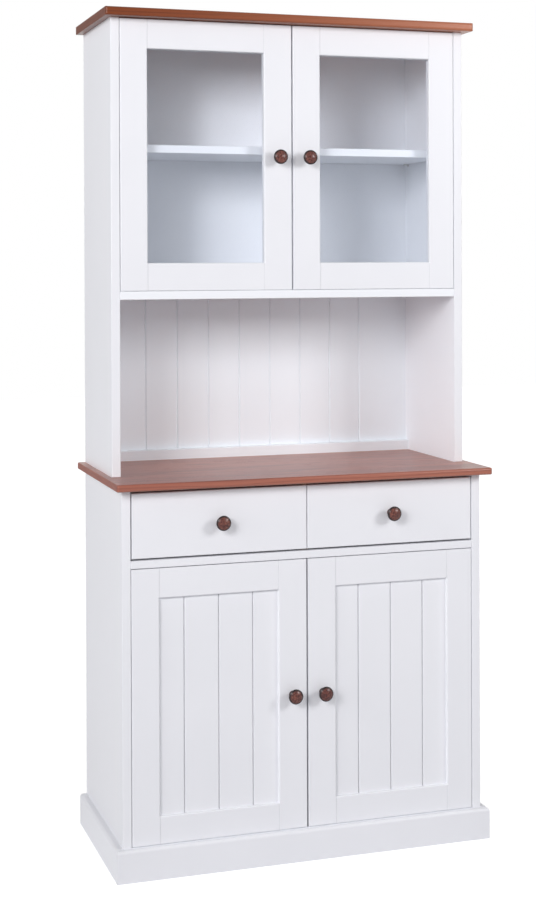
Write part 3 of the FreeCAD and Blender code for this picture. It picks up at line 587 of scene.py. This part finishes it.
# Painted shade: near-black over the rim, and in part over the stem.
lay_over(turned_wood, rim, rim_shade_colour)
find_node(turned_wood, "BSDF_PRINCIPLED").inputs["Specular IOR Level"].default_value = knob_gloss
print("turned wood")

# %% [markdown]
# ## Back boards
# The backs are thin fibreboard, painted on the face to the room and bare on the face to the wall. Two
# materials would need the faces of the CAD mesh sorted, so one finish does both: what lies at the very
# rear is bare. Specks and clouds of noise make its pressed fibres.

# %% Back boards
fibre_pale, fibre_dark = (0.72, 0.50, 0.30), (0.40, 0.25, 0.14)
speck_scale, speck_detail = 260.0, 5.0
cloud_scale, cloud_detail = 26.0, 6.0
fibres_low, fibres_high = 0.55, 1.45
raw_margin = 0.0004


def back_board(name, shades):
    """White paint on the face to the room, bare fibreboard on the face to the wall."""
    finish = white_paint(name, along_z, shades)
    tree = finish.node_tree
    point = object_point(tree)
    speck = noise(tree, point, speck_scale, speck_detail).outputs["Fac"]
    cloud = noise(tree, point, cloud_scale, cloud_detail).outputs["Fac"]
    fibres = remap(tree, math_node(tree, "ADD", speck, cloud), 0.0, 1.0, fibres_low, fibres_high)
    rear = math_node(tree, "GREATER_THAN", object_axis(tree, "Y"), cad_high.y - raw_margin)
    lay_over(finish, rear, mix_colours(tree, fibres, fibre_dark, fibre_pale))
    return finish


# The painted faces take the lighter, bluer inside paints: painted light.
plain_back = back_board("plain_back", lit_inner_shades)
boarded_back = back_board("boarded_back", lit_niche_shades)
print("back boards, bare at the rear")

# %% [markdown]
# ## Nickel-plated steel
# Hinges, screws, nails and shelf supports are plated. A plain metal would mirror like chrome, so noise
# drawn out into fine lines varies its shade and its gloss, as brushing does.

# %% Steel
nickel_dark, nickel_bright = (0.52, 0.51, 0.50), (0.70, 0.69, 0.67)
nickel_gloss, nickel_dull = 0.20, 0.38
brush_along, brush_across, brush_detail = 300.0, 2600.0, 2.0
nickel_steel, tree, shader = new_finish("nickel_steel")
brushed = grain_noise(tree, object_point(tree), brush_along, brush_across, brush_detail).outputs["Fac"]
tree.links.new(mix_colours(tree, brushed, nickel_dark, nickel_bright), shader.inputs["Base Color"])
tree.links.new(remap(tree, brushed, nickel_gloss, nickel_dull), shader.inputs["Roughness"])
shader.inputs["Metallic"].default_value = 1.0
print("steel")

# %% [markdown]
# ## Clear glass
# The panes are clear, with faint smears from wiping. Through a glass shader alone the lamps' light
# reaches the display only by rare bent rays, which leaves it dark and noisy. So for shadows and for
# scattered light the pane is plain transparent with a slight tint, and for the eye it is glass.

# %% Glass
glass_smeared, glass_wiped = (0.925, 0.950, 0.995), (0.950, 0.970, 1.000)
glass_index = 1.45
smear_scale, smear_detail = 12.0, 3.0
smear_rough, smear_low, smear_high = 0.03, 0.4, 0.7
shadow_tint = (0.985, 0.992, 1.0, 1.0)
clear_glass, tree, shader = new_finish("clear_glass")
smear = noise(tree, object_point(tree), smear_scale, smear_detail).outputs["Fac"]
tree.links.new(mix_colours(tree, smear, glass_smeared, glass_wiped), shader.inputs["Base Color"])
tree.links.new(remap(tree, smear, 0.0, smear_rough, smear_low, smear_high), shader.inputs["Roughness"])
shader.inputs["Transmission Weight"].default_value = 1.0
shader.inputs["IOR"].default_value = glass_index
passing = ray_is(tree, "Is Shadow Ray", "Is Diffuse Ray")
clear = add_node(tree, "ShaderNodeBsdfTransparent", {"Color": shadow_tint})
pane = add_node(tree, "ShaderNodeMixShader", {0: passing, 1: shader.outputs[0], 2: clear.outputs[0]})
tree.links.new(pane.outputs[0], find_node(clear_glass, "OUTPUT_MATERIAL").inputs["Surface"])
print("glass")

# %% [markdown]
# ## Dressing the boards
# The CAD pieces keep their meshes and only get the finishes above. Most follow from the last
# word of the name: a rail runs across, a stile runs upright. What neither list names is a white
# board that runs across.

# %% Dress the CAD pieces
finish_of = {
    "worktop": worktop_wood, "top_board": top_wood,
    "niche_back": boarded_back, "niche_rail": white_niche_lit,
    "display_back": plain_back, "lower_back": plain_back,
    "display_shelf": white_inside_lit, "lower_shelf": white_inside_lit, "upper_floor": white_inside_lit,
    "lower_bottom": white_inside_lit, "plinth_sides": white_deep,
    "drawer_partition": pine_y, "drawer_runners": pine_y, "case_dowels": pine_x,
    "case_screws": nickel_steel, "back_nails": nickel_steel, "shelf_supports": nickel_steel,
    "hinge_arms": nickel_steel, "hinge_pins": nickel_steel,
}
finish_of_ending = {
    "_side": white_case_lit_inside, "_stiles": white_upright, "_panel": white_panel, "_beads": white_upright,
    "_rails": white_rail, "_glass": clear_glass, "_hardware": nickel_steel, "_fixings": nickel_steel,
    "_knob": turned_wood, "drawer_sides": pine_y, "drawer_back": pine_x, "drawer_bottom": pine_x,
}


def finish_for(name):
    """The finish of a CAD piece, by its name or by how its name ends."""
    if name in finish_of:
        return finish_of[name]
    for ending, finish in finish_of_ending.items():
        if name.endswith(ending):
            return finish
    return white_across


for name, piece in nodes.items():
    piece.data.materials.clear()
    piece.data.materials.append(finish_for(name))
print("finishes on", len(nodes), "pieces")

# %% [markdown]
# ## Turned knobs
# A knob comes off a lathe, so its profile is drawn once, from the screw hole over the foot, the waist
# and the rim to the middle of the dome, and spun round its axis. The profile is the CAD knob's, in
# millimetres, with the dome rubbed down to one round curve and a fine ring cut near its edge. Every
# other round stretch is an arc through three points.

# %% Knob profile
mm = 0.001
knob_length = 31.0
hole_radius, hole_depth = 2.2, 14.2
foot_radius = 8.0
ball = 25.4
dome_radius, dome_edge, dome_steps = 15.6, 25.65, 44
groove_radius, groove_width, groove_depth = 13.6, 1.2, 0.30
# Foot, shoulder of the foot, waist, flare, lower edge of the rim and upper edge of the rim: each
# starts, passes and ends at a radius and a distance from the door or drawer, and has a number of steps.
arcs = (
    ((8.1, 0.03), (8.35, 0.15), (8.5, 0.5), 3),
    ((8.5, 1.6), (8.4, 1.9), (8.15, 2.1), 3),
    ((8.0, 2.6), (6.62, 8.7), (9.6, 14.9), 14),
    ((10.0, 15.5), (13.2, 18.3), (15.9, 21.1), 8),
    ((16.2, 21.5), (16.45, 21.95), (16.5, 22.5), 4),
    ((16.5, 23.9), (16.26, 24.95), (dome_radius, dome_edge), 6),
)


def through(start, middle, end, steps):
    """Points on the circle through three points, from the first to the last."""
    (ax, ay), (bx, by), (cx, cy) = start, middle, end
    scale = 2 * (ax * (by - cy) + bx * (cy - ay) + cx * (ay - by))
    squares = [x * x + y * y for x, y in (start, middle, end)]
    x = (squares[0] * (by - cy) + squares[1] * (cy - ay) + squares[2] * (ay - by)) / scale
    y = (squares[0] * (cx - bx) + squares[1] * (ax - cx) + squares[2] * (bx - ax)) / scale
    radius = math.hypot(ax - x, ay - y)
    first, last = math.atan2(ay - y, ax - x), math.atan2(cy - y, cx - x)
    turn = math.remainder(last - first, 2 * math.pi)
    angles = [first + turn * step / steps for step in range(steps + 1)]
    return [(x + radius * math.cos(angle), y + radius * math.sin(angle)) for angle in angles]


def dome_point(radius):
    """A point on the dome, with the fine ring cut in."""
    away = min(abs(radius - groove_radius) / groove_width, 0.5)
    cut = groove_depth * (0.5 + 0.5 * math.cos(2 * math.pi * away))
    return radius, knob_length - ball + math.sqrt(ball ** 2 - radius ** 2) - cut


profile = [(0.0, hole_depth), (hole_radius, hole_depth), (hole_radius, 0.0), (foot_radius, 0.0)]
for start, middle, end, steps in arcs:
    profile += through(start, middle, end, steps)
profile += [dome_point(dome_radius * (1 - step / dome_steps)) for step in range(1, dome_steps + 1)]
print("profile of", len(profile), "points")

# %% [markdown]
# The profile runs out from the face, which looks to -Y, so a point's radius goes along X and its
# distance along -Y before the spin round the Y axis. A Screw modifier could spin it too, but the bmesh
# operator leaves a plain mesh, on which the attribute marks the rim.

# %% Spin the knobs
weld_distance = 1e-6
spin_steps, knob_crease = 72, 50.0
rim_start, rim_width, head_start = 12.4, 2.0, 20.0
# The share of the painted shade that lies over the stem.
stem_shade_share = 0.6


def put_on(body, name, shape, finish, smooth_below):
    """A finished mesh as a piece that rides on a body."""
    bmesh.ops.remove_doubles(shape, verts=shape.verts, dist=weld_distance)
    bmesh.ops.recalc_face_normals(shape, faces=shape.faces)
    mesh = bpy.data.meshes.new(name)
    shape.to_mesh(mesh)
    shape.free()
    mesh.shade_smooth()
    mesh.set_sharp_from_angle(angle=math.radians(smooth_below))
    mesh.materials.append(finish)
    piece = bpy.data.objects.new(name, mesh)
    scene.collection.objects.link(piece)
    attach(piece, body)
    return piece


def turned_knob(body):
    """A knob in place of a body's CAD knob, with its rim, and in part its stem, marked for the painted
    shade.
    """
    node = body + "_knob"
    low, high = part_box(node)
    centre = Vector(((low.x + high.x) / 2, high.y, (low.z + high.z) / 2))
    shape = bmesh.new()
    points = [shape.verts.new(centre + Vector((radius * mm, -out * mm, 0.0))) for radius, out in profile]
    edges = [shape.edges.new(pair) for pair in zip(points, points[1:])]
    bmesh.ops.spin(shape, geom=points + edges, cent=centre, axis=(0.0, 1.0, 0.0), dvec=(0.0, 0.0, 0.0),
                   angle=2 * math.pi, steps=spin_steps, use_merge=True)
    piece = put_on(body, "turned_" + node, shape, turned_wood, knob_crease)
    rim = piece.data.attributes.new("rim", "FLOAT", "POINT")
    for vertex, value in zip(piece.data.vertices, rim.data):
        radius = math.hypot(vertex.co.x - centre.x, vertex.co.z - centre.z) / mm
        head = centre.y - vertex.co.y > head_start * mm
        value.value = min(max((radius - rim_start) / rim_width, 0.0), 1.0) if head else stem_shade_share
    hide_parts(node)
    return piece


doors = [f"{stage}_{side}_door" for stage in ("upper", "lower") for side in ("left", "right")]
drawers = [f"{side}_drawer" for side in ("left", "right")]
knobs = [turned_knob(body) for body in doors + drawers]
print(len(knobs), "knobs of", len(knobs[0].data.polygons), "faces")

# %% [markdown]
# ## Screw heads
# The CAD screws end in plain discs. A real head is domed and has a cross for the driver. To place the
# heads by hand would repeat the CAD model's places, so the screws are found as the separate islands of
# the CAD meshes, by their width, and those of the hinges by their length too. Heads in the case face
# its middle, and heads on doors and drawers face the rear.

# %% Find the screws
x_axis, y_axis = 0, 1
screw_across, screw_reach = 6.0 * mm, 14.0 * mm
knob_screw_across = 9.0 * mm
across_slack, reach_slack = 0.2 * mm, 0.3 * mm


def islands(node):
    """Lowest and highest corner of each separate solid in a CAD node."""
    shape = bmesh.new()
    shape.from_mesh(nodes[node].data)
    bmesh.ops.remove_doubles(shape, verts=shape.verts, dist=weld_distance)
    waiting = set(shape.verts)
    solids = []
    while waiting:
        reached = [waiting.pop()]
        for vertex in reached:
            near = {edge.other_vert(vertex) for edge in vertex.link_edges} & waiting
            waiting -= near
            reached += near
        corners = [[vertex.co[axis] for vertex in reached] for axis in range(3)]
        solids.append(tuple(Vector([end(values) for values in corners]) for end in (min, max)))
    shape.free()
    return sorted(solids, key=lambda pair: tuple(pair[0]))


def heads(node, axis, across, reach=None):
    """Middle, outward direction and width of the screw heads in a node that lie along an axis."""
    found = []
    for low, high in islands(node):
        size = high - low
        sides = [size[other] for other in range(3) if other != axis]
        wrong_width = max(abs(side - across) for side in sides) > across_slack
        wrong_length = reach and abs(size[axis] - reach) > reach_slack
        if wrong_width or wrong_length:
            continue
        middle = (low + high) / 2
        leftward = axis == x_axis and middle.x > 0
        middle[axis] = low[axis] if leftward else high[axis]
        outward = Vector((0.0, 0.0, 0.0))
        outward[axis] = -1.0 if leftward else 1.0
        found.append((middle, outward, across))
    return found


heads_on = {"cabinet": heads("case_screws", x_axis, screw_across, screw_reach)}
for body in doors:
    heads_on[body] = heads(body + "_hardware", y_axis, screw_across, screw_reach)
    heads_on[body] += heads(body + "_hardware", y_axis, knob_screw_across)
for body in drawers:
    heads_on[body] = heads(body + "_fixings", y_axis, knob_screw_across)
print("screw heads", {body: len(found) for body, found in heads_on.items()})

# %% [markdown]
# A cap could be a ball cut flat with a cross cut out of it, but cuts leave ragged meshes. Here each cap
# starts as a grid of three by three cells whose middle row and column are as narrow as the cross. Its
# open edge is extruded out to rings, which carry the dome to the edge and close underneath. Then the
# five cells of the cross are extruded down. All sizes are shares of the head's radius.

# %% Build the caps
cross_inner, cross_outer, cross_depth = 0.13, 0.52, 0.20
cap_height, cap_crease = 0.30, 35.0
# Radius and height of each ring.
cap_rings = ((0.74, 0.25), (0.92, 0.15), (1.02, 0.02), (1.02, -0.10))
between_marks = 0.5


def cross_mark(mark):
    """A grid line of a cap, which lies at a third or at the whole of the grid, moved to the cross."""
    return math.copysign(cross_outer if abs(mark) > between_marks else cross_inner, mark)


def new_points(made):
    """The vertices among what an extrusion has made."""
    return [item for item in made["geom"] if isinstance(item, bmesh.types.BMVert)]


def open_edges(shape):
    """The edges that have a face on one side only."""
    return [edge for edge in shape.edges if edge.is_boundary]


def add_cap(shape, radius, place):
    """A domed head with a sunk cross, on +Z of a local frame that a matrix puts in place."""
    made = bmesh.ops.create_grid(shape, x_segments=3, y_segments=3, size=1.0)["verts"]
    for vertex in made:
        vertex.co = Vector((cross_mark(vertex.co.x), cross_mark(vertex.co.y), cap_height)) * radius
    cells = [face for face in shape.faces if face.verts[0] in made]
    middles = [cell.calc_center_median() for cell in cells]
    cross = [cell for cell, middle in zip(cells, middles)
             if min(abs(middle.x), abs(middle.y)) < cross_inner * radius]
    for share, height in cap_rings:
        ring = new_points(bmesh.ops.extrude_edge_only(shape, edges=open_edges(shape)))
        for vertex in ring:
            angle = math.atan2(vertex.co.y, vertex.co.x)
            vertex.co = Vector((share * math.cos(angle), share * math.sin(angle), height)) * radius
        made += ring
    bmesh.ops.edgeloop_fill(shape, edges=open_edges(shape))
    bottom = new_points(bmesh.ops.extrude_face_region(shape, geom=cross))
    bmesh.ops.translate(shape, verts=bottom, vec=(0.0, 0.0, -cross_depth * radius))
    bmesh.ops.delete(shape, geom=cross, context="FACES")
    bmesh.ops.transform(shape, verts=made + bottom, matrix=place)


for body, found in heads_on.items():
    shape = bmesh.new()
    for middle, outward, across in found:
        place = Matrix.Translation(middle) @ outward.to_track_quat("Z", "Y").to_matrix().to_4x4()
        add_cap(shape, across / 2, place)
    put_on(body, body + "_screw_heads", shape, nickel_steel, cap_crease)
